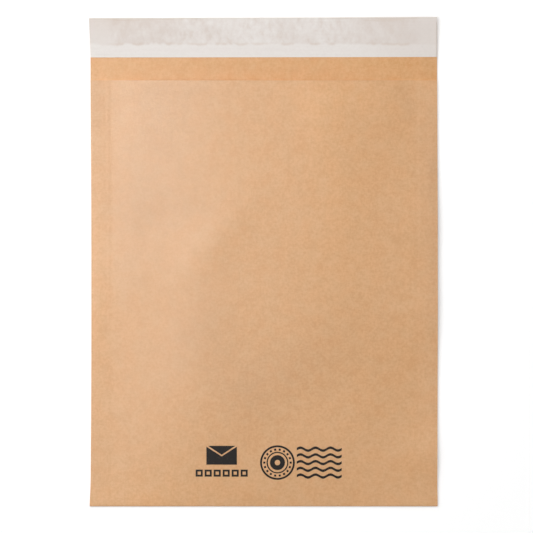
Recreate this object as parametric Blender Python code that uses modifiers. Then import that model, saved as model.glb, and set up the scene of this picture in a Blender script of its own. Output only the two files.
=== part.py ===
"""Paper mailer, lying on its back panel with the closing flap laid out straight.

One sheet of kraft is folded at the bottom and glued along both sides, so the back panel, the
front panel and the flap are one piece with an open pocket. The flap carries a strip of adhesive
under a release liner.

+X runs across the mailer, +Y from the bottom fold to the end of the flap, and +Z is up. The
origin is on the table, under the middle of the mailer. Sizes are in metres.
"""

import math

import bmesh
import bpy

# The sheet, folded flat
MAILER_WIDTH = 0.216
POCKET_DEPTH = 0.2655  # from the bottom fold to the mouth
FLAP_DEPTH = 0.039  # from the mouth to the end of the flap
SHEET_THICKNESS = 0.0007

# The glued side seams
SEAM_WIDTH = 0.011
GLUE_THICKNESS = 0.0002
GLUE_INSET = 0.0006  # from the edges of the seam to the glue, all round
GLUE_BITE = 0.0002  # how far the glue soaks into each panel

# The empty pocket, which stands a little open
BELLY_CLEARANCE = 0.0068
MOUTH_CLEARANCE = 0.0060
BELLY_RISE_LENGTH = 0.085  # from the fold to where the pocket is fully open
MOUTH_FALL_LENGTH = 0.095  # from the belly to the mouth
BELLY_SQUARENESS = 2.5  # 2 is a round belly across the pocket, and more is flatter on top
SEAM_EASING = 1.5  # 1 leaves the seam at an angle, and more leaves it smoothly
WAIST = 0.00015  # how far each side is drawn in by the open pocket
BELLY_TAKE_UP = 0.0004  # how far the mouth's edge is drawn back, as the belly takes up length

# Soft creases of the front panel from handling: place across and from the fold, direction in
# degrees, half length, half width, and height, which is negative for a hollow
PANEL_CREASES = (
    (-0.074, 0.172, 47.0, 0.024, 0.010, -0.00050),
    (-0.033, 0.164, 47.0, 0.034, 0.012, 0.00075),
    (-0.044, 0.100, 78.0, 0.048, 0.018, 0.00060),
    (0.036, 0.246, 88.0, 0.024, 0.010, 0.00035),
    (0.080, 0.252, 80.0, 0.016, 0.010, 0.00030),
    (0.037, 0.066, 34.0, 0.055, 0.020, -0.00080),
    (0.074, 0.049, 22.0, 0.026, 0.010, 0.00024),
)

# The outline's small departures from a rectangle
FLAP_END_SKEW = 0.0008  # how far the flap's cut end runs out of square, over the width
SIDE_BOW = 0.0005  # how far both sides bow towards +X, at mid depth
LEFT_CORNER_FLARE = 0.0005  # how far each folded corner stands out
RIGHT_CORNER_FLARE = 0.0003
FLARE_LENGTH = 0.010

# How the sheet lies on the table
RESTING_WIDTH = 0.120  # the middle of the back panel, which lies flat
LEFT_EDGE_LIFTS = ((0.134, 0.0012, 0.040),)  # distance from the fold, height and reach of each
RIGHT_EDGE_LIFTS = ((0.176, 0.0019, 0.028), (0.124, 0.0020, 0.027), (0.031, 0.0014, 0.014))
FLAP_END_LIFT = 0.0003  # at the middle of the flap's end
FLAP_CORNER_LIFT = 0.0015

# The adhesive strip and its release liner, on the flap
LINER_WIDTH = 0.0246
LINER_THICKNESS = 0.0002
LINER_OVERHANG = 0.0009  # past the flap's left edge, where the liner is cut at a slant
ADHESIVE_WIDTH = 0.013
ADHESIVE_THICKNESS = 0.0002
ADHESIVE_FROM_FLAP_END = 0.0045
ADHESIVE_FROM_SIDES = 0.012
LAYER_GAP = 0.0003  # between the sheet, the adhesive and the liner
LINER_EASE = 0.003  # beside the adhesive, the liner comes down to the flap over this distance

# How finely the sheet is divided
POCKET_COLUMNS = 16
SEAM_COLUMNS = 2
PANEL_ROWS = 24
BEND_ROWS = 5
FLAP_ROWS = 4

# Sizes that follow
HALF_WIDTH = MAILER_WIDTH / 2
HALF_POCKET = HALF_WIDTH - SEAM_WIDTH
SHEET_LENGTH = POCKET_DEPTH + FLAP_DEPTH
BEND_RADIUS = (SHEET_THICKNESS + GLUE_THICKNESS) / 2  # of the middle of the sheet
BEND_CENTRE = BEND_RADIUS + SHEET_THICKNESS / 2  # from the outside of the fold
FRONT_TURN = math.pi  # the sheet's turn from the back panel, round the bend, to the front panel
ADHESIVE_SIDE = HALF_WIDTH - ADHESIVE_FROM_SIDES
ADHESIVE_TOP = SHEET_LENGTH - ADHESIVE_FROM_FLAP_END
ADHESIVE_BOTTOM = ADHESIVE_TOP - ADHESIVE_WIDTH

KRAFT = (0.686, 0.407, 0.223, 1.0)
HOT_MELT = (0.80, 0.72, 0.52, 1.0)
GLASSINE = (0.78, 0.72, 0.68, 1.0)


def smooth_step(share):
    share = min(max(share, 0.0), 1.0)
    return share * share * (3 - 2 * share)


def evenly(start, end, steps):
    return [start + (end - start) * step / steps for step in range(steps + 1)]


def edge_lift(x, distance):
    """Height of the sides over the table. The flat middle stays down and each seam stays level."""
    bumps = RIGHT_EDGE_LIFTS if x > 0 else LEFT_EDGE_LIFTS
    height = sum(
        top * math.exp(-(((distance - place) / reach) ** 2)) for place, top, reach in bumps
    )
    flat = RESTING_WIDTH / 2
    return height * smooth_step((abs(x) - flat) / (HALF_POCKET - flat))


def flap_lift(x, distance):
    """Height of the flap over the table, which curls up a little towards its corners."""
    along = max(distance - POCKET_DEPTH, 0.0) / FLAP_DEPTH
    across = min(abs(x) / HALF_WIDTH, 1.0)
    corner_rise = (FLAP_CORNER_LIFT - FLAP_END_LIFT) * across**2
    return (FLAP_END_LIFT + corner_rise) * smooth_step(along)


def underside(x, distance):
    """Height of the bottom of the sheet over the table."""
    return edge_lift(x, distance) + flap_lift(x, distance)


def pocket_share(x, distance):
    """From 0 at the seams and the fold to 1 over the belly of the pocket."""
    across = (1 - min(abs(x) / HALF_POCKET, 1.0) ** BELLY_SQUARENESS) ** SEAM_EASING
    along = 1 - (1 - min((distance - BEND_CENTRE) / BELLY_RISE_LENGTH, 1.0)) ** 2
    return across * along


def creases(x, distance):
    total = 0.0
    for place_x, place_distance, direction, half_length, half_width, height in PANEL_CREASES:
        angle = math.radians(direction)
        dx, dy = x - place_x, distance - place_distance
        along = (dx * math.cos(angle) + dy * math.sin(angle)) / half_length
        across = (dy * math.cos(angle) - dx * math.sin(angle)) / half_width
        total += height * math.exp(-(along**2) - across**2)
    return total


def pocket_height(x, distance):
    """Clear height between the two panels, beyond the thickness of the glue."""
    to_mouth = smooth_step(1 - (POCKET_DEPTH - distance) / MOUTH_FALL_LENGTH)
    clearance = BELLY_CLEARANCE + (MOUTH_CLEARANCE - BELLY_CLEARANCE) * to_mouth
    return (clearance - GLUE_THICKNESS + creases(x, distance)) * pocket_share(x, distance)


def place_across(x, distance):
    """The open pocket pulls its sides in, most at mid depth and not at the fold or the mouth."""
    pull = math.sin(math.pi * min(distance / POCKET_DEPTH, 1.0))
    corner = RIGHT_CORNER_FLARE if x > 0 else LEFT_CORNER_FLARE
    flare = corner * math.exp(-((distance / FLARE_LENGTH) ** 2))
    return x * (1 + (flare - WAIST * pull) / HALF_WIDTH) + SIDE_BOW * pull


def cut_end(x, distance):
    """The flap's end and the liner run slightly out of square."""
    along = max(distance - POCKET_DEPTH, 0.0) / FLAP_DEPTH
    return distance + FLAP_END_SKEW * along * x / MAILER_WIDTH


def sheet_columns():
    left_seam = evenly(-HALF_WIDTH, -HALF_POCKET, SEAM_COLUMNS)
    pocket = evenly(-HALF_POCKET, HALF_POCKET, POCKET_COLUMNS)
    right_seam = evenly(HALF_POCKET, HALF_WIDTH, SEAM_COLUMNS)
    return left_seam + pocket[1:-1] + right_seam


def sheet_rows():
    """Rows of the sheet from the flap's end to the mouth: (distance from the fold, turn)."""
    flap = evenly(SHEET_LENGTH, POCKET_DEPTH, FLAP_ROWS)
    panel = evenly(POCKET_DEPTH, BEND_CENTRE, PANEL_ROWS)
    bend = evenly(0.0, FRONT_TURN, BEND_ROWS)
    back = [(distance, 0.0) for distance in flap[:-1] + panel[:-1]]
    front = [(distance, FRONT_TURN) for distance in reversed(panel[:-1])]
    return back + [(BEND_CENTRE, turn) for turn in bend] + front


def sheet_point(x, row):
    """A point of the middle of the folded sheet."""
    distance, turn = row
    over = (1 - math.cos(turn)) / 2
    height = underside(x, distance) + SHEET_THICKNESS / 2
    height += over * (2 * BEND_RADIUS + pocket_height(x, distance))
    along = cut_end(x, distance) - BEND_RADIUS * math.sin(turn)
    along -= over * BELLY_TAKE_UP * pocket_share(x, distance) * distance / POCKET_DEPTH
    return place_across(x, distance), along, height


def glue_point(x, distance):
    """A point of the middle of a glue line, half way between the two panels."""
    height = underside(x, distance) + SHEET_THICKNESS + GLUE_THICKNESS / 2
    return place_across(x, distance), distance, height


def adhesive_point(x, distance):
    height = underside(x, distance) + SHEET_THICKNESS + LAYER_GAP + ADHESIVE_THICKNESS / 2
    return x, cut_end(x, distance), height


def liner_point(x, distance):
    """The liner lies over the adhesive and comes down to the flap beside it."""
    past = max(
        abs(x) - ADHESIVE_SIDE, distance - ADHESIVE_TOP, ADHESIVE_BOTTOM - distance, LAYER_GAP
    )
    raised = 1 - smooth_step((past - LAYER_GAP) / LINER_EASE)
    under_liner = SHEET_THICKNESS + LAYER_GAP + raised * (ADHESIVE_THICKNESS + LAYER_GAP)
    slant = (distance - (SHEET_LENGTH - LINER_WIDTH)) / LINER_WIDTH
    overhang = LINER_OVERHANG * slant * max(-x, 0.0) / HALF_WIDTH
    height = underside(x, distance) + under_liner + LINER_THICKNESS / 2
    return x - overhang, cut_end(x, distance), height


def liner_columns():
    """As the sheet's, with a column at each end of the liner's two slopes."""
    level, low = ADHESIVE_SIDE + LAYER_GAP, ADHESIVE_SIDE + LAYER_GAP + LINER_EASE
    return [-HALF_WIDTH, -low] + evenly(-level, level, POCKET_COLUMNS) + [low, HALF_WIDTH]


def liner_rows():
    start, end = ADHESIVE_BOTTOM - LAYER_GAP, ADHESIVE_TOP + LAYER_GAP
    level = evenly(start, end, 2)
    below = [SHEET_LENGTH - LINER_WIDTH, start - LINER_EASE]
    return below + level + [end + LINER_EASE, SHEET_LENGTH]


def make_material(name, colour, roughness):
    material = bpy.data.materials.new(name)
    material.use_nodes = True
    shader = material.node_tree.nodes["Principled BSDF"]
    shader.inputs["Base Color"].default_value = colour
    shader.inputs["Roughness"].default_value = roughness
    shader.inputs["Metallic"].default_value = 0.0
    return material


def make_layer(name, columns, rows, place, thickness, material, collection):
    """A thin sheet: a grid whose points are set by place(column, row), thickened both ways."""
    last_column, last_row = len(columns) - 1, len(rows) - 1
    form = bmesh.new()
    bmesh.ops.create_grid(form, x_segments=last_column, y_segments=last_row, size=0.5)
    for point in form.verts:
        column = round((point.co.x + 0.5) * last_column)
        row = round((point.co.y + 0.5) * last_row)
        point.co = place(columns[column], rows[row])
    mesh = bpy.data.meshes.new(name)
    form.to_mesh(mesh)
    form.free()
    mesh.materials.append(material)
    layer = bpy.data.objects.new(name, mesh)
    collection.objects.link(layer)
    solidify = layer.modifiers.new("thickness", "SOLIDIFY")
    solidify.thickness = thickness
    solidify.offset = 0.0
    solidify.use_even_offset = True
    return layer


def make_pouch(material, collection, helpers):
    """The folded sheet, joined along both sides by its glue lines."""
    pouch = make_layer(
        "pouch", sheet_columns(), sheet_rows(), sheet_point, SHEET_THICKNESS, material, collection
    )
    panel_rows = evenly(BEND_CENTRE, POCKET_DEPTH, PANEL_ROWS)
    # The glue's rows lie between the panels' rows, so that no two points nearly meet.
    between = [(row + following) / 2 for row, following in zip(panel_rows, panel_rows[1:])]
    glue_rows = [BEND_CENTRE + GLUE_INSET] + between + [POCKET_DEPTH - GLUE_INSET]
    inner, outer = HALF_POCKET + GLUE_INSET, HALF_WIDTH - GLUE_INSET
    for side, glue_columns in (("left", (-outer, -inner)), ("right", (inner, outer))):
        glue = make_layer(
            side + "_glue_line",
            glue_columns,
            glue_rows,
            glue_point,
            GLUE_THICKNESS + 2 * GLUE_BITE,
            material,
            helpers,
        )
        glue.parent = pouch
        glue.hide_render = True
        glue.display_type = "WIRE"
        join = pouch.modifiers.new(side + " seam", "BOOLEAN")
        join.operation = "UNION"
        join.solver = "EXACT"
        join.object = glue
    return pouch


def make_adhesive(material, collection):
    return make_layer(
        "adhesive_strip",
        evenly(-ADHESIVE_SIDE, ADHESIVE_SIDE, POCKET_COLUMNS),
        evenly(ADHESIVE_BOTTOM, ADHESIVE_TOP, FLAP_ROWS),
        adhesive_point,
        ADHESIVE_THICKNESS,
        material,
        collection,
    )


def make_liner(material, collection):
    return make_layer(
        "release_liner",
        liner_columns(),
        liner_rows(),
        liner_point,
        LINER_THICKNESS,
        material,
        collection,
    )


def make_collection(name):
    collection = bpy.data.collections.new(name)
    bpy.context.scene.collection.children.link(collection)
    return collection


def main():
    for leftover in list(bpy.data.objects):
        bpy.data.objects.remove(leftover)
    mailer = make_collection("paper_mailer")
    helpers = make_collection("joined_shapes")
    # The pieces are drawn from the fold line, which this empty carries to its place on the table.
    fold_line = bpy.data.objects.new("fold_line", None)
    fold_line.location = (0.0, -SHEET_LENGTH / 2, 0.0)
    fold_line.empty_display_size = HALF_WIDTH
    mailer.objects.link(fold_line)
    pieces = (
        make_pouch(make_material("kraft_paper", KRAFT, 0.75), mailer, helpers),
        make_adhesive(make_material("hot_melt", HOT_MELT, 0.35), mailer),
        make_liner(make_material("glassine", GLASSINE, 0.45), mailer),
    )
    for piece in pieces:
        piece.parent = fold_line


main()
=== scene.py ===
"""Looks of the flat paper mailer: fine paper surfaces, the release liner over its adhesive, plain
printed marks, soft light from the left, and a camera that looks straight down.

Sizes are in metres: +X across the mailer, +Y from the bottom fold to the flap's end, +Z up.
A distance is measured along the mailer from its bottom fold.
"""

import math

import bmesh
import bpy
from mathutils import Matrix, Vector, noise


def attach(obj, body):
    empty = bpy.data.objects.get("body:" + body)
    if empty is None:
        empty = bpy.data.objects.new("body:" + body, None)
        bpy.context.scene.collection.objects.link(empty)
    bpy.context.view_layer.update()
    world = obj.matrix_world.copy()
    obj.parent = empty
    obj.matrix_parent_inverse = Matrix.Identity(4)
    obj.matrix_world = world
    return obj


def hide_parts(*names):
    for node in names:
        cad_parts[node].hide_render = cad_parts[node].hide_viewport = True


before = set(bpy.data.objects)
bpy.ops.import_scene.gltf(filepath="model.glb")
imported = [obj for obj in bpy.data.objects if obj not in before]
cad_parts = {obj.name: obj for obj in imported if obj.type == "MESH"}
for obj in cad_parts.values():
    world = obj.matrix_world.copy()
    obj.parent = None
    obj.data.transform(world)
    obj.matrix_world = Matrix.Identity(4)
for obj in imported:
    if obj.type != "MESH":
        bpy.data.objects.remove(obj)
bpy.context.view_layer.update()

# The sheet, as in the part's own model
MAILER_WIDTH = 0.216
POCKET_DEPTH = 0.2655
FLAP_DEPTH = 0.039
SHEET_THICKNESS = 0.0007
SEAM_WIDTH = 0.011
GLUE_THICKNESS = 0.0002
GLUE_INSET = 0.0006

# The empty pocket
BELLY_CLEARANCE = 0.0068
MOUTH_CLEARANCE = 0.0060
BELLY_RISE_LENGTH = 0.085
MOUTH_FALL_LENGTH = 0.095
BELLY_SQUARENESS = 2.5
SEAM_EASING = 1.5
WAIST = 0.00015
BELLY_TAKE_UP = 0.0004

# Soft creases: place across and from the fold, direction in degrees, half length, half width, height
PANEL_CREASES = (
    (-0.074, 0.172, 47.0, 0.024, 0.010, -0.00050),
    (-0.033, 0.164, 47.0, 0.034, 0.012, 0.00075),
    (-0.044, 0.100, 78.0, 0.048, 0.018, 0.00060),
    (0.036, 0.246, 88.0, 0.024, 0.010, 0.00035),
    (0.080, 0.252, 80.0, 0.016, 0.010, 0.00030),
    (0.037, 0.066, 34.0, 0.055, 0.020, -0.00080),
    (0.074, 0.049, 22.0, 0.026, 0.010, 0.00024),
)

# The outline's small departures from a rectangle
FLAP_END_SKEW = 0.0008
SIDE_BOW = 0.0005
LEFT_CORNER_FLARE = 0.0005
RIGHT_CORNER_FLARE = 0.0003
FLARE_LENGTH = 0.010

# How the sheet lies on the table; each edge lift has a distance, a height and a reach
RESTING_WIDTH = 0.120
LEFT_EDGE_LIFTS = ((0.134, 0.0012, 0.040),)
RIGHT_EDGE_LIFTS = ((0.176, 0.0019, 0.028), (0.124, 0.0020, 0.027), (0.031, 0.0014, 0.014))
FLAP_END_LIFT = 0.0003
FLAP_CORNER_LIFT = 0.0015

# The adhesive strip and its release liner, pressed closer together than the loose solids are
LINER_WIDTH = 0.0246
LINER_THICKNESS = 0.00015
LINER_OVERHANG = 0.0009
ADHESIVE_WIDTH = 0.013
ADHESIVE_THICKNESS = 0.00010
ADHESIVE_FROM_FLAP_END = 0.0045
ADHESIVE_FROM_SIDES = 0.012
LAYER_GAP = 0.00005
LINER_EASE = 0.004

# Sizes that follow
HALF_WIDTH = MAILER_WIDTH / 2
HALF_POCKET = HALF_WIDTH - SEAM_WIDTH
SHEET_LENGTH = POCKET_DEPTH + FLAP_DEPTH
FOLD_Y = -SHEET_LENGTH / 2
BEND_RADIUS = (SHEET_THICKNESS + GLUE_THICKNESS) / 2
BEND_CENTRE = BEND_RADIUS + SHEET_THICKNESS / 2
ADHESIVE_SIDE = HALF_WIDTH - ADHESIVE_FROM_SIDES
ADHESIVE_TOP = SHEET_LENGTH - ADHESIVE_FROM_FLAP_END
ADHESIVE_BOTTOM = ADHESIVE_TOP - ADHESIVE_WIDTH

# The kraft's colour, on the panels' outside and on the flap's inside
OUTSIDE_KRAFT = (0.664, 0.366, 0.169)
INSIDE_KRAFT = (0.660, 0.336, 0.124)

# Uneven tone of the kraft, with painted shade and painted highlights, in oval spots: place across
# and from the fold, direction in degrees, half length, half width, and the share of brightness that
# the spot's middle gains or loses
OUTSIDE_TONE_AND_PAINTED_SHADING = (
    (0.018, 0.085, 34.0, 0.100, 0.046, -0.070),
    # painted shade at the upper left
    (-0.066, 0.226, 92.0, 0.150, 0.072, -0.120),
    (-0.046, 0.108, 62.0, 0.085, 0.040, -0.070),
    (0.042, 0.205, 90.0, 0.160, 0.042, 0.045),
    # painted shade along the right seam
    (0.106, 0.150, 90.0, 0.260, 0.019, -0.065),
    # painted highlight along the left seam
    (-0.106, 0.140, 90.0, 0.150, 0.019, 0.100),
    (0.089, 0.253, 110.0, 0.030, 0.014, -0.060),
    (0.100, 0.040, 60.0, 0.045, 0.025, 0.030),
    # painted shade at the upper left, beside the mouth
    (-0.055, 0.258, 0.0, 0.085, 0.036, -0.060),
    # painted highlight along the bottom fold
    (-0.072, 0.006, 0.0, 0.130, 0.032, 0.070),
    (0.052, 0.256, 0.0, 0.070, 0.030, 0.065),
    (-0.080, 0.172, 90.0, 0.080, 0.034, -0.055),
    (-0.030, 0.096, 80.0, 0.070, 0.040, -0.055),
    # painted shade along the right seam
    (0.106, 0.210, 90.0, 0.065, 0.020, -0.075),
    (-0.009, 0.072, 90.0, 0.050, 0.036, -0.055),
    (-0.058, 0.186, 0.0, 0.066, 0.026, -0.050),
    (0.030, 0.244, 90.0, 0.045, 0.020, 0.045),
)
INSIDE_PAINTED_SHADING = (
    # painted highlight beside the mouth, over the shade that falls under the front panel's edge
    (0.0, 0.2665, 0.0, 0.150, 0.007, 0.090),
    # painted shade at the flap's right end
    (0.100, 0.275, 90.0, 0.060, 0.050, -0.060),
    # painted highlight along the mouth's edge, over the shade that falls there
    (0.0, 0.2656, 0.0, 0.200, 0.0019, 0.180),
)

# How far the kraft's grain moves red, green and blue, so that its specks keep the paper's hue
OUTSIDE_CONTRAST = (0.053, 0.091, 0.166)
INSIDE_CONTRAST = (0.053, 0.108, 0.265)

# Kraft's layers of noise: how fine each is, and how much it moves the tone
CLOUDS_SCALE, CLOUDS_WEIGHT = 26.0, 0.35
FORMATION_SCALE, FORMATION_WEIGHT = 150.0, 1.10
GRAIN_SCALE, GRAIN_WEIGHT = 620.0, 2.60
FIBRES_UP_SCALE, FIBRES_UP_TURN, FIBRES_UP_WEIGHT = (2600.0, 300.0, 900.0), 8.0, 0.90
FIBRES_ACROSS_SCALE, FIBRES_ACROSS_TURN, FIBRES_ACROSS_WEIGHT = (320.0, 2400.0, 900.0), -14.0, 1.00
DARK_FIBRE_TINT = (0.76, 0.62, 0.45)
DARK_FIBRE_SHARE = 0.16
HUES_SCALE = 110.0
WARMER_TINT = (1.011, 0.991, 0.966, 1.0)
COOLER_TINT = (0.989, 1.003, 1.014, 1.0)
KRAFT_ROUGHNESS = (0.50, 0.60)
KRAFT_BUMP = 0.00003

# The release liner's colours, and how strongly each stain and the painted shade at its right edge show
LINER_CLEAR = (0.835, 0.790, 0.755, 1.0)
LINER_OVER_ADHESIVE = (0.735, 0.660, 0.612, 1.0)
LINER_STAIN = (0.650, 0.525, 0.430, 1.0)
# painted shade along the liner's right edge
LINER_EDGE_SHADE = (0.500, 0.410, 0.350, 1.0)
LINER_GRAIN_TINT = (0.90, 0.90, 0.90)
COVER_MIDDLE = 0.42
COVER_NEAR_ENDS = 0.55
COVER_BESIDE = 0.55
RIGHT_SIDE_SHARE = 0.42
RIM_SHARE = 0.36
END_STAIN_SHARE = 0.34
AGED_SHARE = 0.18
SPOTS_SHARE = 0.14
EDGE_SHADE_SHARE = 0.55
LINER_BUMP = 0.00004

# Where those stains and that painted shade lie
BAND_WAVER = 0.0040  # of the adhesive band's lower edge
BAND_WAVER_START = -0.0023
BAND_EDGE = (-0.0006, 0.0016)  # from the adhesive's lower edge
BAND_ENDS = (-0.0050, 0.0030)  # from the adhesive's sides
NEAR_ENDS = (0.025, 0.090)  # from the middle
RIGHT_SIDE = (0.050, 0.090)
RIM_ABOVE_EDGE = 0.0011
RIM_WIDTH = 0.0013
END_STAIN = (-0.0034, -0.0016)  # from the flap's end
END_STAIN_ACROSS = (0.020, 0.065)
AGED_SIDE = (-0.040, -0.090)
EDGE_SHADE_ACROSS = (-0.0009, -0.0005)  # from the right side
EDGE_SHADE_END = (-0.0035, -0.0020)

# The glues and the ink: colours and the height of their bump
MELT_PALE, MELT_DARK = (0.82, 0.74, 0.52, 1.0), (0.66, 0.52, 0.28, 1.0)
MELT_BUMP = 0.00008
PASTE_PALE, PASTE_DARK = (0.72, 0.60, 0.42, 1.0), (0.60, 0.44, 0.27, 1.0)
PASTE_BUMP = 0.00003
INK_BLACK, INK_WORN = (0.010, 0.008, 0.007, 1.0), (0.040, 0.028, 0.020, 1.0)
INK_BUMP = 0.00002

# Paper detail that only the look needs: the size and height of each layer of small waves, and where
# in the noise they start
COCKLES = ((0.050, 0.00016), (0.021, 0.00005))
COCKLES_START = 0.37
COCKLE_EDGE = 0.018  # they fade over this distance towards the seams, the fold and the mouth
SEAM_RIDGE_HEIGHT = 0.00006  # the seam's inner edge shows through as a faint ridge
SEAM_RIDGE_WIDTH = 0.0012
LINER_RIPPLES = ((0.030, 0.00006), (0.009, 0.00003))
LINER_RIPPLES_START = 2.6
ADHESIVE_EDGE_WAVES = ((0.012, 0.0004),)
ADHESIVE_EDGE_WAVES_START = 4.1

# How finely the surfaces are divided
CELL = 0.002
SEAM_CELL = 0.0004
BEND_ROWS = 8
LINER_CELL = 0.0012
SHARP_ANGLE = 50.0  # degrees, from which an edge is shaded as a sharp one

# The printed marks near the bottom fold
INK_THICKNESS = 0.00003
INK_LIFT = 0.00003
INK_CELL = 0.0010
CUT_REACH = 1e-6
FEWEST_RING_STEPS = 16
MARKS_FROM_FOLD = 0.0275  # the middle of the row of marks
LETTER_MARK_X = -0.0262
POSTMARK_X = 0.0085
WAVES_MARK_X = 0.0345

# The photograph's frame, and the mailer's place in it
FRAME_PIXELS = 533
METRES_PER_PIXEL = 0.0006226
MAILER_PIXEL_X = 263.80
MAILER_PIXEL_Y = 262.05
CAMERA_LENS = 220.0
SENSOR_WIDTH = 36.0
MEAN_HEIGHT = 0.0030  # of the surfaces whose size sets the framing

# Light: a soft key from the left, a fill past the flap's end that shows in no gloss, and a small
# lamp that makes only the paper's sheen
WHITE = (1.0, 1.0, 1.0, 1.0)
AMBIENT_STRENGTH = 0.32
KEY_PLACE = (-0.82, 0.33, 1.56)
KEY_SIZE = 1.40
KEY_POWER = 19.3
FILL_PLACE = (0.05, 1.75, 1.85)
FILL_SIZE = 1.80
FILL_POWER = 15.5
SHEEN_PLACE = (-0.37, 0.20, 0.62)
SHEEN_SIZE = 0.34
SHEEN_POWER = 8.0
FLOOR_ALBEDO = 0.80
FLOOR_LIFT = 0.33
FAR_FLOOR_LIFT = 0.66  # where the lamps no longer reach
NEAR_FLOOR, FAR_FLOOR = 0.40, 2.00
FLOOR_SIZE = 12.0
FLOOR_DROP = 0.0001


def smooth_step(share):
    share = min(max(share, 0.0), 1.0)
    return share * share * (3 - 2 * share)


def evenly(start, end, steps):
    return [start + (end - start) * step / steps for step in range(steps + 1)]


def by_cell(start, end, cell):
    return evenly(start, end, max(1, round(abs(end - start) / cell)))


# Form of the sheet


def edge_lift(x, distance):
    bumps = RIGHT_EDGE_LIFTS if x > 0 else LEFT_EDGE_LIFTS
    height = sum(
        top * math.exp(-(((distance - place) / reach) ** 2)) for place, top, reach in bumps
    )
    flat = RESTING_WIDTH / 2
    return height * smooth_step((abs(x) - flat) / (HALF_POCKET - flat))


def flap_lift(x, distance):
    along = max(distance - POCKET_DEPTH, 0.0) / FLAP_DEPTH
    across = min(abs(x) / HALF_WIDTH, 1.0)
    corner_rise = (FLAP_CORNER_LIFT - FLAP_END_LIFT) * across**2
    return (FLAP_END_LIFT + corner_rise) * smooth_step(along)


def underside(x, distance):
    return edge_lift(x, distance) + flap_lift(x, distance)


def pocket_share(x, distance):
    across = (1 - min(abs(x) / HALF_POCKET, 1.0) ** BELLY_SQUARENESS) ** SEAM_EASING
    along = 1 - (1 - min((distance - BEND_CENTRE) / BELLY_RISE_LENGTH, 1.0)) ** 2
    return across * along


def creases(x, distance):
    total = 0.0
    for place_x, place_distance, direction, half_length, half_width, height in PANEL_CREASES:
        angle = math.radians(direction)
        dx, dy = x - place_x, distance - place_distance
        along = (dx * math.cos(angle) + dy * math.sin(angle)) / half_length
        across = (dy * math.cos(angle) - dx * math.sin(angle)) / half_width
        total += height * math.exp(-(along**2) - across**2)
    return total


def small_waves(x, distance, layers, start):
    total = 0.0
    for size, height in layers:
        total += height * noise.noise(Vector((x / size, distance / size, start)))
    return total


def panel_detail(x, distance):
    """Cockles over the loose part of the front panel, and the faint ridges beside its seams."""
    inward = min(HALF_POCKET - abs(x), distance, POCKET_DEPTH - distance)
    cockle = small_waves(x, distance, COCKLES, COCKLES_START) * smooth_step(inward / COCKLE_EDGE)
    ridge = math.exp(-(((abs(x) - HALF_POCKET) / SEAM_RIDGE_WIDTH) ** 2))
    return cockle + SEAM_RIDGE_HEIGHT * ridge


def pocket_height(x, distance):
    to_mouth = smooth_step(1 - (POCKET_DEPTH - distance) / MOUTH_FALL_LENGTH)
    clearance = BELLY_CLEARANCE + (MOUTH_CLEARANCE - BELLY_CLEARANCE) * to_mouth
    belly = (clearance - GLUE_THICKNESS + creases(x, distance)) * pocket_share(x, distance)
    return belly + panel_detail(x, distance)


def place_across(x, distance):
    pull = math.sin(math.pi * min(distance / POCKET_DEPTH, 1.0))
    corner = RIGHT_CORNER_FLARE if x > 0 else LEFT_CORNER_FLARE
    flare = corner * math.exp(-((distance / FLARE_LENGTH) ** 2))
    return x * (1 + (flare - WAIST * pull) / HALF_WIDTH) + SIDE_BOW * pull


def cut_end(x, distance):
    along = max(distance - POCKET_DEPTH, 0.0) / FLAP_DEPTH
    return distance + FLAP_END_SKEW * along * x / MAILER_WIDTH


def sheet_point(x, row):
    distance, turn = row
    over = (1 - math.cos(turn)) / 2
    height = underside(x, distance) + SHEET_THICKNESS / 2
    height += over * (2 * BEND_RADIUS + pocket_height(x, distance))
    along = cut_end(x, distance) - BEND_RADIUS * math.sin(turn)
    along -= over * BELLY_TAKE_UP * pocket_share(x, distance) * distance / POCKET_DEPTH
    return place_across(x, distance), FOLD_Y + along, height


def glue_point(x, distance):
    height = underside(x, distance) + SHEET_THICKNESS + GLUE_THICKNESS / 2
    return place_across(x, distance), FOLD_Y + distance, height


def adhesive_point(x, distance):
    """The adhesive's long edges waver a little, as a rolled-on strip's do."""
    middle = (ADHESIVE_TOP + ADHESIVE_BOTTOM) / 2
    to_edge = (distance - middle) / (ADHESIVE_WIDTH / 2)
    waver = small_waves(x, distance, ADHESIVE_EDGE_WAVES, ADHESIVE_EDGE_WAVES_START) * abs(to_edge)
    height = underside(x, distance) + SHEET_THICKNESS + LAYER_GAP + ADHESIVE_THICKNESS / 2
    return x, FOLD_Y + cut_end(x, distance) + waver, height


def liner_point(x, distance):
    """The liner lies on the flap, steps up over the adhesive and overhangs at its slanted left end."""
    past = max(
        abs(x) - ADHESIVE_SIDE, distance - ADHESIVE_TOP, ADHESIVE_BOTTOM - distance, LAYER_GAP
    )
    raised = 1 - smooth_step((past - LAYER_GAP) / LINER_EASE)
    under_liner = SHEET_THICKNESS + LAYER_GAP + raised * (ADHESIVE_THICKNESS + LAYER_GAP)
    slant = (distance - (SHEET_LENGTH - LINER_WIDTH)) / LINER_WIDTH
    overhang = LINER_OVERHANG * slant * max(-x, 0.0) / HALF_WIDTH
    height = underside(x, distance) + under_liner + LINER_THICKNESS / 2
    height += small_waves(x, distance, LINER_RIPPLES, LINER_RIPPLES_START)
    return x - overhang, FOLD_Y + cut_end(x, distance), height


def panel_top(x, y):
    """Height of the front panel's outside above the table."""
    middle = sheet_point(x, (y - FOLD_Y, math.pi))
    return middle[2] + SHEET_THICKNESS / 2


# Meshes


def collect(name):
    collection = bpy.data.collections.new(name)
    bpy.context.scene.collection.children.link(collection)
    return collection


def object_from(form, name, collection):
    mesh = bpy.data.meshes.new(name)
    form.to_mesh(mesh)
    form.free()
    made = bpy.data.objects.new(name, mesh)
    collection.objects.link(made)
    return made


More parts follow.
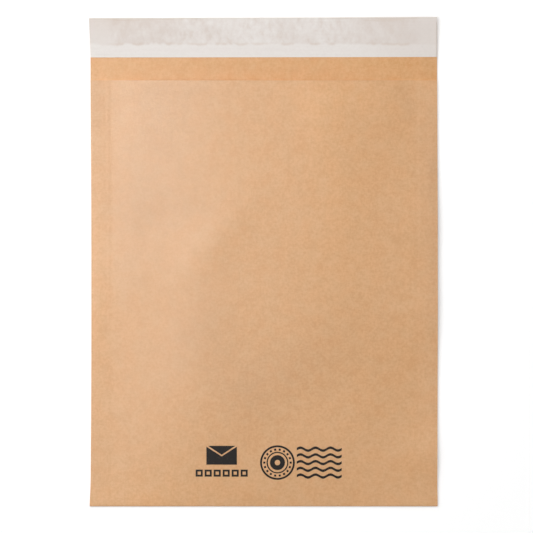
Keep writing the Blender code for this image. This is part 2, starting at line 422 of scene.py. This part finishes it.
def thickened(flat, thickness, offset=0.0, inside_slot=0):
    """The flat surface as a closed sheet, with its modifier applied and its cut edges sharp."""
    solidify = flat.modifiers.new("thickness", "SOLIDIFY")
    solidify.thickness = thickness
    solidify.offset = offset
    solidify.use_even_offset = True
    solidify.material_offset = inside_slot
    bpy.context.view_layer.update()
    solid = bpy.data.meshes.new_from_object(
        flat.evaluated_get(bpy.context.evaluated_depsgraph_get())
    )
    solid.name = flat.name
    flat.modifiers.clear()
    flat.data = solid
    solid.shade_smooth()
    solid.set_sharp_from_angle(angle=math.radians(SHARP_ANGLE))
    return flat


def make_layer(name, columns, rows, place, thickness, materials, collection):
    """A thin sheet whose points are set by place(column, row), with the last material inside."""
    last_column, last_row = len(columns) - 1, len(rows) - 1
    form = bmesh.new()
    bmesh.ops.create_grid(form, x_segments=last_column, y_segments=last_row, size=0.5)
    for point in form.verts:
        column = round((point.co.x + 0.5) * last_column)
        row = round((point.co.y + 0.5) * last_row)
        point.co = place(columns[column], rows[row])
    layer = object_from(form, name, collection)
    for material in materials:
        layer.data.materials.append(material)
    return thickened(layer, thickness, inside_slot=len(materials) - 1)


def seam_columns():
    """Columns from the middle of the pocket outwards, close together where the seam begins."""
    near = 3 * SEAM_RIDGE_WIDTH
    pocket = by_cell(-HALF_POCKET + near, HALF_POCKET - near, CELL)
    ridge = by_cell(HALF_POCKET - near, HALF_POCKET + near, SEAM_CELL)
    seam = by_cell(HALF_POCKET + near, HALF_WIDTH, CELL)
    right = ridge[1:] + seam[1:]
    return [-x for x in reversed(right)] + pocket + right


def sheet_rows():
    """Distance and turn of each row: down the flap and the back, round the fold, up the front."""
    flap = by_cell(SHEET_LENGTH, POCKET_DEPTH, CELL)
    panel = by_cell(POCKET_DEPTH, BEND_CENTRE, CELL)
    bend = evenly(0.0, math.pi, BEND_ROWS)
    back = [(distance, 0.0) for distance in flap[:-1] + panel[:-1]]
    front = [(distance, math.pi) for distance in reversed(panel[:-1])]
    return back + [(BEND_CENTRE, turn) for turn in bend] + front


def make_pouch(outside, inside, collection):
    return make_layer(
        "kraft_pouch",
        seam_columns(),
        sheet_rows(),
        sheet_point,
        SHEET_THICKNESS,
        (outside, inside),
        collection,
    )


def make_seam_glue(material, collection):
    inner, outer = HALF_POCKET + GLUE_INSET, HALF_WIDTH - GLUE_INSET
    rows = by_cell(BEND_CENTRE + GLUE_INSET, POCKET_DEPTH - GLUE_INSET, CELL)
    glue = []
    for side, sign in (("left", -1), ("right", 1)):
        name = side + "_seam_glue"
        columns = sorted(by_cell(sign * inner, sign * outer, CELL))
        line = make_layer(
            name, columns, rows, glue_point, GLUE_THICKNESS, (material,), collection
        )
        glue.append(line)
    return glue


def make_adhesive(material, collection):
    return make_layer(
        "adhesive_band",
        by_cell(-ADHESIVE_SIDE, ADHESIVE_SIDE, LINER_CELL),
        by_cell(ADHESIVE_BOTTOM, ADHESIVE_TOP, LINER_CELL),
        adhesive_point,
        ADHESIVE_THICKNESS,
        (material,),
        collection,
    )


def make_liner(material, collection):
    return make_layer(
        "liner_strip",
        by_cell(-HALF_WIDTH, HALF_WIDTH, LINER_CELL),
        by_cell(SHEET_LENGTH - LINER_WIDTH, SHEET_LENGTH, LINER_CELL),
        liner_point,
        LINER_THICKNESS,
        (material,),
        collection,
    )


# Printed marks, drawn flat about their own middle and then laid on the panel


def add_bar(form, x, y, width, height, angle=0.0):
    """A filled bar about (x, y), divided finely enough to follow the panel."""
    columns = max(1, round(width / INK_CELL))
    rows = max(1, round(height / INK_CELL))
    made = bmesh.ops.create_grid(form, x_segments=columns, y_segments=rows, size=0.5)
    for point in made["verts"]:
        across, up = point.co.x * width, point.co.y * height
        point.co.x = x + across * math.cos(angle) - up * math.sin(angle)
        point.co.y = y + across * math.sin(angle) + up * math.cos(angle)


def add_shape(form, corners):
    """A filled shape, cut along a fine grid so that it follows the panel."""
    edge = form.faces.new([form.verts.new((x, y, 0.0)) for x, y in corners])
    faces, edges, points = [edge], list(edge.edges), list(edge.verts)
    for axis in (0, 1):
        places = [corner[axis] for corner in corners]
        for place in by_cell(min(places), max(places), INK_CELL)[1:-1]:
            at, across = [0.0, 0.0, 0.0], [0.0, 0.0, 0.0]
            at[axis], across[axis] = place, 1.0
            cut = bmesh.ops.bisect_plane(
                form, geom=points + edges + faces, plane_co=at, plane_no=across, dist=CUT_REACH
            )
            kinds = {bmesh.types.BMVert: [], bmesh.types.BMEdge: [], bmesh.types.BMFace: []}
            for element in cut["geom"]:
                kinds[type(element)].append(element)
            points, edges, faces = kinds.values()


def add_ring(form, x, y, radius, line):
    """A ring whose line is centred on the radius."""
    steps = max(FEWEST_RING_STEPS, round(math.tau * radius / INK_CELL))
    angles = [math.tau * step / steps for step in range(steps)]
    inner, outer = (
        [form.verts.new((x + edge * math.cos(a), y + edge * math.sin(a), 0.0)) for a in angles]
        for edge in (radius - line / 2, radius + line / 2)
    )
    for step in range(steps):
        after = (step + 1) % steps
        form.faces.new((inner[step], outer[step], outer[after], inner[after]))


def add_wave(form, x, y, length, swing, waves, line):
    """A wavy line about (x, y) with square ends."""
    steps = round(length / INK_CELL) * 2
    edges = ([], [])
    for step in range(steps + 1):
        share = step / steps
        height = swing * math.sin(math.tau * waves * share)
        for edge, side in zip(edges, (-line / 2, line / 2)):
            edge.append(form.verts.new((x + length * (share - 0.5), y + height + side, 0.0)))
    low, high = edges
    for step in range(steps):
        form.faces.new((low[step], low[step + 1], high[step + 1], high[step]))


def add_box_outline(form, x, y, width, height, line):
    """Four bars that meet at their corners without lying over each other."""
    for sign in (-1, 1):
        add_bar(form, x, y + sign * (height - line) / 2, width, line)
        add_bar(form, x + sign * (width - line) / 2, y, line, height - 2 * line)


def add_letter_mark(form):
    """A filled envelope with a bare line along its flap, over a row of empty boxes."""
    width, height, flap, gap = 0.0190, 0.0118, 0.0056, 0.0010
    envelope_up, boxes_up = 0.0046, -0.0066
    boxes, pitch, side, line = 6, 0.0056, 0.0044, 0.0012
    left, right = -width / 2, width / 2
    low, high = envelope_up - height / 2, envelope_up + height / 2
    add_shape(form, ((left + gap, high), (0.0, high - flap), (right - gap, high)))
    add_shape(
        form,
        (
            (left, low),
            (right, low),
            (right, high - gap / 2),
            (0.0, high - flap - gap),
            (left, high - gap / 2),
        ),
    )
    for box in range(boxes):
        add_box_outline(form, (box - (boxes - 1) / 2) * pitch, boxes_up, side, side, line)


def add_postmark(form):
    """A thick ring in the middle of two thin ones, with a circle of dots between those."""
    for radius, line in ((0.0102, 0.0012), (0.0064, 0.0008), (0.0032, 0.0030)):
        add_ring(form, 0.0, 0.0, radius, line)
    dots, dot_radius, side = 18, 0.0082, 0.0013
    for dot in range(dots):
        angle = math.tau * dot / dots
        x, y = dot_radius * math.cos(angle), dot_radius * math.sin(angle)
        add_bar(form, x, y, side, side, angle)


def add_waves_mark(form):
    """Wavy lines, as beside a postmark."""
    rows, pitch = 5, 0.0042
    length, swing, waves, line = 0.0280, 0.0009, 3.0, 0.0016
    for row in range(rows):
        add_wave(form, 0.0, (row - (rows - 1) / 2) * pitch, length, swing, waves, line)


def make_mark(name, draw, x, material, collection):
    """A mark laid on the front panel, with its faces upwards and thickened away from the paper."""
    form = bmesh.new()
    draw(form)
    for point in form.verts:
        across = x + point.co.x
        y = FOLD_Y + MARKS_FROM_FOLD + point.co.y
        point.co = (across, y, panel_top(across, y) + INK_LIFT)
    bmesh.ops.recalc_face_normals(form, faces=form.faces)
    for face in form.faces:
        if face.normal.z < 0:
            face.normal_flip()
    mark = object_from(form, name, collection)
    mark.data.materials.append(material)
    return thickened(mark, INK_THICKNESS, offset=1.0)


# Materials


class Shading:
    """A node material, and short ways to add nodes to it."""

    def __init__(self, name):
        self.material = bpy.data.materials.new(name)
        self.material.use_nodes = True
        self.tree = self.material.node_tree
        self.shader = self.tree.nodes["Principled BSDF"]
        self.place = self.add("ShaderNodeTexCoord").outputs["Object"]

    def add(self, kind, **settings):
        node = self.tree.nodes.new(kind)
        for name, value in settings.items():
            setattr(node, name, value)
        return node

    def join(self, source, target):
        if isinstance(source, (int, float, tuple)):
            target.default_value = source
        else:
            self.tree.links.new(source, target)

    def scaled(self, scale, turn=0.0):
        mapping = self.add("ShaderNodeMapping")
        self.join(self.place, mapping.inputs["Vector"])
        mapping.inputs["Scale"].default_value = scale
        mapping.inputs["Rotation"].default_value = (0.0, 0.0, math.radians(turn))
        return mapping.outputs["Vector"]

    def noise(self, place, scale, detail=2.0, roughness=0.5):
        node = self.add("ShaderNodeTexNoise")
        self.join(place, node.inputs["Vector"])
        node.inputs["Scale"].default_value = scale
        node.inputs["Detail"].default_value = detail
        node.inputs["Roughness"].default_value = roughness
        return node.outputs["Fac"]

    def math(self, operation, first, second=0.0, clamp=False):
        node = self.add("ShaderNodeMath", operation=operation, use_clamp=clamp)
        self.join(first, node.inputs[0])
        self.join(second, node.inputs[1])
        return node.outputs[0]

    def ramp(self, value, low, high, to_low=0.0, to_high=1.0):
        """The value from low to high, spread smoothly from to_low to to_high."""
        node = self.add("ShaderNodeMapRange", interpolation_type="SMOOTHSTEP")
        for name, number in (
            ("Value", value),
            ("From Min", low),
            ("From Max", high),
            ("To Min", to_low),
            ("To Max", to_high),
        ):
            self.join(number, node.inputs[name])
        return node.outputs["Result"]

    def mix(self, share, first, second, blend="MIX"):
        node = self.add("ShaderNodeMix", data_type="RGBA", blend_type=blend)
        self.join(share, node.inputs["Factor"])
        self.join(first, node.inputs[6])
        self.join(second, node.inputs[7])
        return node.outputs[2]

    def line(self, value, slope, start):
        """The value times the slope, plus the start."""
        node = self.add("ShaderNodeMath", operation="MULTIPLY_ADD")
        for number, socket in zip((value, slope, start), node.inputs):
            self.join(number, socket)
        return node.outputs[0]

    def product(self, first, *others):
        for other in others:
            first = self.math("MULTIPLY", first, other)
        return first

    def weighed(self, parts, middle=0.5):
        """The middle value, moved by each noise's distance from 0.5 times its weight."""
        total = middle
        for part, weight in parts:
            total = self.math("ADD", self.line(part, weight, -0.5 * weight), total)
        return total

    def bump(self, height, distance):
        node = self.add("ShaderNodeBump")
        node.inputs["Strength"].default_value = 1.0
        node.inputs["Distance"].default_value = distance
        self.join(height, node.inputs["Height"])
        self.join(node.outputs["Normal"], self.shader.inputs["Normal"])

    def finish(self, colour, roughness, specular):
        self.join(colour, self.shader.inputs["Base Color"])
        self.join(roughness, self.shader.inputs["Roughness"])
        self.shader.inputs["Specular IOR Level"].default_value = specular
        return self.material


def tinted(colour, factors):
    return tuple(channel * factor for channel, factor in zip(colour, factors)) + (1.0,)


def patched(kraft, patches):
    """A brightness of one, made darker or lighter in soft oval patches."""
    tone = 1.0
    for x, distance, direction, half_length, half_width, strength in patches:
        spot = kraft.add("ShaderNodeMapping", vector_type="TEXTURE")
        kraft.join(kraft.place, spot.inputs["Vector"])
        spot.inputs["Location"].default_value = (x, FOLD_Y + distance, 0.0)
        spot.inputs["Rotation"].default_value = (0.0, 0.0, math.radians(direction))
        spot.inputs["Scale"].default_value = (half_length, half_width, 1.0)
        round_spot = kraft.add("ShaderNodeTexGradient", gradient_type="QUADRATIC_SPHERE")
        kraft.join(spot.outputs["Vector"], round_spot.inputs["Vector"])
        tone = kraft.math("ADD", tone, kraft.product(round_spot.outputs["Fac"], strength))
    return tone


def make_kraft(name, colour, contrast, patches):
    """Kraft paper: cloudy formation, a fine grain and faint fibres over a patchy brown, with painted
    shade and painted highlights in oval spots.
    """
    kraft = Shading(name)
    clouds = kraft.noise(kraft.place, CLOUDS_SCALE)
    formation = kraft.noise(kraft.place, FORMATION_SCALE, roughness=0.55)
    grain = kraft.noise(kraft.place, GRAIN_SCALE, detail=3.0, roughness=0.6)
    fibres_up = kraft.noise(kraft.scaled(FIBRES_UP_SCALE, FIBRES_UP_TURN), 1.0)
    fibres_across = kraft.noise(kraft.scaled(FIBRES_ACROSS_SCALE, FIBRES_ACROSS_TURN), 1.0)
    tone = kraft.weighed(
        (
            (clouds, CLOUDS_WEIGHT),
            (formation, FORMATION_WEIGHT),
            (grain, GRAIN_WEIGHT),
            (fibres_up, FIBRES_UP_WEIGHT),
            (fibres_across, FIBRES_ACROSS_WEIGHT),
        )
    )
    dark = tinted(colour, [1 - share for share in contrast])
    light = tinted(colour, [1 + share for share in contrast])
    body = kraft.mix(tone, dark, light)
    dark_fibres = kraft.ramp(fibres_across, 0.66, 0.80, 0.0, DARK_FIBRE_SHARE)
    body = kraft.mix(dark_fibres, body, tinted(colour, DARK_FIBRE_TINT))
    hues = kraft.ramp(kraft.noise(kraft.place, HUES_SCALE), 0.30, 0.70)
    body = kraft.mix(1.0, body, kraft.mix(hues, WARMER_TINT, COOLER_TINT), "MULTIPLY")
    # Oval spots of uneven tone and of painted shade and painted highlights
    body = kraft.mix(1.0, body, patched(kraft, patches), "MULTIPLY")
    roughness = kraft.ramp(grain, 0.3, 0.7, *KRAFT_ROUGHNESS)
    kraft.bump(kraft.weighed(((formation, 0.8), (grain, 0.5), (fibres_across, 0.35))), KRAFT_BUMP)
    return kraft.finish(body, roughness, 0.5)


def ramp_from(shading, value, start, span, to_low=0.0, to_high=1.0):
    """A ramp whose two ends are given from a start."""
    low, high = span
    return shading.ramp(value, start + low, start + high, to_low, to_high)


def make_liner_paper():
    """Silicone-coated paper, the adhesive showing through it in blotches and brown dashes, and painted
    shade at its right edge.
    """
    liner = Shading("release_paper")
    axes = liner.add("ShaderNodeSeparateXYZ")
    liner.join(liner.place, axes.inputs[0])
    x, y = axes.outputs["X"], axes.outputs["Y"]
    from_middle = liner.math("ABSOLUTE", x)
    patches = liner.noise(liner.place, 40.0, detail=1.0)
    blotches = liner.noise(liner.scaled((1.0, 0.70, 1.0), 25.0), 250.0, roughness=0.6)
    dashes = liner.noise(liner.scaled((1.0, 0.25, 1.0)), 110.0, roughness=0.6)
    streaks = liner.noise(liner.scaled((45.0, 800.0, 1.0)), 1.0)
    grain = liner.noise(liner.place, 600.0)
    bottom, end = FOLD_Y + ADHESIVE_BOTTOM, FOLD_Y + SHEET_LENGTH

    # The adhesive's band, with a wavering lower edge, and the fainter band beside its ends
    edge = liner.math("ADD", y, liner.line(dashes, BAND_WAVER, BAND_WAVER_START))
    above = ramp_from(liner, edge, bottom, BAND_EDGE)
    over_adhesive = ramp_from(liner, from_middle, ADHESIVE_SIDE, BAND_ENDS, 1.0, 0.0)
    cover = liner.weighed(((blotches, 1.8), (patches, 1.2)), COVER_MIDDLE)
    cover = liner.math("ADD", cover, liner.ramp(from_middle, *NEAR_ENDS, 0.0, COVER_NEAR_ENDS))
    beside = liner.product(liner.math("SUBTRACT", 1.0, over_adhesive), COVER_BESIDE)
    cover = liner.math("ADD", liner.product(cover, over_adhesive), beside)
    cover = liner.math("MULTIPLY", above, cover, clamp=True)
    body = liner.mix(cover, LINER_CLEAR, LINER_OVER_ADHESIVE)
    right_side = liner.ramp(x, *RIGHT_SIDE, 0.0, RIGHT_SIDE_SHARE)
    body = liner.mix(right_side, body, LINER_OVER_ADHESIVE)

    # Stains: the band's lower rim, the flap's end, the upper left and single spots
    off_rim = liner.math("ABSOLUTE", liner.math("SUBTRACT", edge, bottom + RIM_ABOVE_EDGE))
    rim = liner.ramp(off_rim, 0.0, RIM_WIDTH, 1.0, 0.0)
    end_stain = ramp_from(liner, y, end, END_STAIN)
    for share, parts in (
        (RIM_SHARE, (rim, liner.ramp(dashes, 0.44, 0.56), over_adhesive)),
        (
            END_STAIN_SHARE,
            (end_stain, liner.ramp(streaks, 0.44, 0.60), liner.ramp(from_middle, *END_STAIN_ACROSS)),
        ),
        (AGED_SHARE, (liner.ramp(x, *AGED_SIDE), liner.ramp(y, bottom, end))),
        (SPOTS_SHARE, (liner.ramp(blotches, 0.56, 0.70), over_adhesive, above)),
    ):
        body = liner.mix(liner.product(*parts, share), body, LINER_STAIN)
    # Painted shade along the liner's right edge, stopping short of the flap's end
    edge_shade = liner.product(
        ramp_from(liner, x, HALF_WIDTH, EDGE_SHADE_ACROSS),
        ramp_from(liner, y, end, EDGE_SHADE_END, EDGE_SHADE_SHARE, 0.0),
    )
    body = liner.mix(edge_shade, body, LINER_EDGE_SHADE)

    fine = liner.weighed(((grain, 0.40), (streaks, 0.25)), 0.08)
    body = liner.mix(fine, body, tinted(LINER_OVER_ADHESIVE, LINER_GRAIN_TINT))
    roughness = liner.ramp(blotches, 0.3, 0.7, 0.60, 0.70)
    liner.bump(liner.weighed(((blotches, 0.6), (streaks, 0.25), (grain, 0.2))), LINER_BUMP)
    return liner.finish(body, roughness, 0.2)


def make_hot_melt():
    """The adhesive: glossy and blotchy."""
    melt = Shading("hot_melt")
    blotches = melt.noise(melt.scaled((1.0, 1.6, 1.0)), 150.0, detail=3.0, roughness=0.6)
    body = melt.mix(blotches, MELT_PALE, MELT_DARK)
    melt.bump(blotches, MELT_BUMP)
    return melt.finish(body, melt.ramp(blotches, 0.3, 0.7, 0.22, 0.40), 0.5)


def make_seam_glue_paste():
    """The seams' glue: streaked along the seam."""
    paste = Shading("seam_paste")
    streaks = paste.noise(paste.scaled((700.0, 60.0, 1.0)), 1.0)
    body = paste.mix(streaks, PASTE_PALE, PASTE_DARK)
    paste.bump(streaks, PASTE_BUMP)
    return paste.finish(body, paste.ramp(streaks, 0.3, 0.7, 0.40, 0.55), 0.5)


def make_ink():
    """Black ink that the paper's grain breaks up a little."""
    ink = Shading("black_ink")
    grain = ink.noise(ink.place, 900.0, detail=3.0, roughness=0.65)
    body = ink.mix(ink.ramp(grain, 0.55, 0.75), INK_BLACK, INK_WORN)
    ink.bump(grain, INK_BUMP)
    return ink.finish(body, ink.ramp(grain, 0.3, 0.7, 0.45, 0.60), 0.15)


def seen_directly(tree):
    """1 for rays from the camera, and for what glossy or clear things show."""
    path = tree.nodes.new("ShaderNodeLightPath")
    seen = path.outputs["Is Camera Ray"]
    for ray in ("Is Glossy Ray", "Is Transmission Ray"):
        either = tree.nodes.new("ShaderNodeMath")
        either.operation = "MAXIMUM"
        tree.links.new(seen, either.inputs[0])
        tree.links.new(path.outputs[ray], either.inputs[1])
        seen = either.outputs[0]
    return seen


def make_floor_material():
    """A pale floor that renders white, and keeps the shadow that falls on it."""
    floor = Shading("pale_floor")
    floor.finish(tinted(WHITE, (FLOOR_ALBEDO,) * 3), 0.9, 0.0)
    glow = floor.add("ShaderNodeEmission")
    glow.inputs["Color"].default_value = WHITE
    reach = floor.add("ShaderNodeVectorMath", operation="LENGTH")
    floor.join(floor.place, reach.inputs[0])
    lift = floor.ramp(reach.outputs["Value"], NEAR_FLOOR, FAR_FLOOR, FLOOR_LIFT, FAR_FLOOR_LIFT)
    floor.join(floor.product(seen_directly(floor.tree), lift), glow.inputs["Strength"])
    both = floor.add("ShaderNodeAddShader")
    floor.join(floor.shader.outputs["BSDF"], both.inputs[0])
    floor.join(glow.outputs[0], both.inputs[1])
    surface = floor.tree.nodes["Material Output"].inputs["Surface"]
    floor.join(both.outputs[0], surface)
    return floor.material


# Stage, light and camera


def make_floor(collection):
    form = bmesh.new()
    bmesh.ops.create_grid(form, x_segments=1, y_segments=1, size=FLOOR_SIZE / 2)
    floor = object_from(form, "floor", collection)
    floor.location.z = -FLOOR_DROP
    floor.data.materials.append(make_floor_material())


def make_world():
    """Even light from all round, behind which the backdrop is seen as white."""
    world = bpy.data.worlds.new("studio")
    world.use_nodes = True
    bpy.context.scene.world = world
    tree = world.node_tree
    ambient = tree.nodes["Background"]
    ambient.inputs["Color"].default_value = WHITE
    ambient.inputs["Strength"].default_value = AMBIENT_STRENGTH
    white = tree.nodes.new("ShaderNodeBackground")
    white.inputs["Color"].default_value = WHITE
    mix = tree.nodes.new("ShaderNodeMixShader")
    tree.links.new(seen_directly(tree), mix.inputs[0])
    tree.links.new(ambient.outputs[0], mix.inputs[1])
    tree.links.new(white.outputs[0], mix.inputs[2])
    tree.links.new(mix.outputs[0], tree.nodes["World Output"].inputs["Surface"])


def make_lamp(name, place, size, power, collection):
    """A square soft lamp that faces the middle of the mailer."""
    lamp = bpy.data.lights.new(name, "AREA")
    lamp.shape = "SQUARE"
    lamp.size = size
    lamp.energy = power
    holder = bpy.data.objects.new(name, lamp)
    holder.location = place
    holder.rotation_euler = (-Vector(place)).to_track_quat("-Z", "Y").to_euler()
    holder.visible_camera = False
    collection.objects.link(holder)
    return holder


def make_camera(collection):
    """Straight down, with the mailer where it lies in the photograph."""
    camera = bpy.data.cameras.new("camera")
    camera.lens = CAMERA_LENS
    camera.sensor_width = SENSOR_WIDTH
    camera.sensor_fit = "HORIZONTAL"
    holder = bpy.data.objects.new("camera", camera)
    distance = FRAME_PIXELS * METRES_PER_PIXEL * CAMERA_LENS / SENSOR_WIDTH
    holder.location = (
        (FRAME_PIXELS / 2 - MAILER_PIXEL_X) * METRES_PER_PIXEL,
        (MAILER_PIXEL_Y - FRAME_PIXELS / 2) * METRES_PER_PIXEL,
        MEAN_HEIGHT + distance,
    )
    collection.objects.link(holder)
    bpy.context.scene.camera = holder


def main():
    mailer = collect("paper_mailer")
    studio = collect("studio")
    make_camera(studio)

    outside = make_kraft("kraft_outside", OUTSIDE_KRAFT, OUTSIDE_CONTRAST, OUTSIDE_TONE_AND_PAINTED_SHADING)
    inside = make_kraft("kraft_inside", INSIDE_KRAFT, INSIDE_CONTRAST, INSIDE_PAINTED_SHADING)
    ink = make_ink()

    pouch = make_pouch(outside, inside, mailer)
    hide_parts("pouch")
    adhesive = make_adhesive(make_hot_melt(), mailer)
    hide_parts("adhesive_strip")
    liner = make_liner(make_liner_paper(), mailer)
    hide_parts("release_liner")
    glue = make_seam_glue(make_seam_glue_paste(), mailer)
    marks = [
        make_mark("letter_mark", add_letter_mark, LETTER_MARK_X, ink, mailer),
        make_mark("postmark_rings", add_postmark, POSTMARK_X, ink, mailer),
        make_mark("postmark_waves", add_waves_mark, WAVES_MARK_X, ink, mailer),
    ]
    for piece, slot in (
        [(pouch, "kraft_paper"), (adhesive, "hot_melt"), (liner, "glassine")]
        + [(piece, "hot_melt") for piece in glue]
        + [(piece, "kraft_paper") for piece in marks]
    ):
        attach(piece, "root")

    make_floor(studio)
    make_world()
    make_lamp("key_lamp", KEY_PLACE, KEY_SIZE, KEY_POWER, studio)
    fill = make_lamp("fill_lamp", FILL_PLACE, FILL_SIZE, FILL_POWER, studio)
    fill.visible_glossy = False
    sheen = make_lamp("sheen_lamp", SHEEN_PLACE, SHEEN_SIZE, SHEEN_POWER, studio)
    sheen.visible_diffuse = False
    bpy.context.scene.view_settings.view_transform = "Standard"


main()
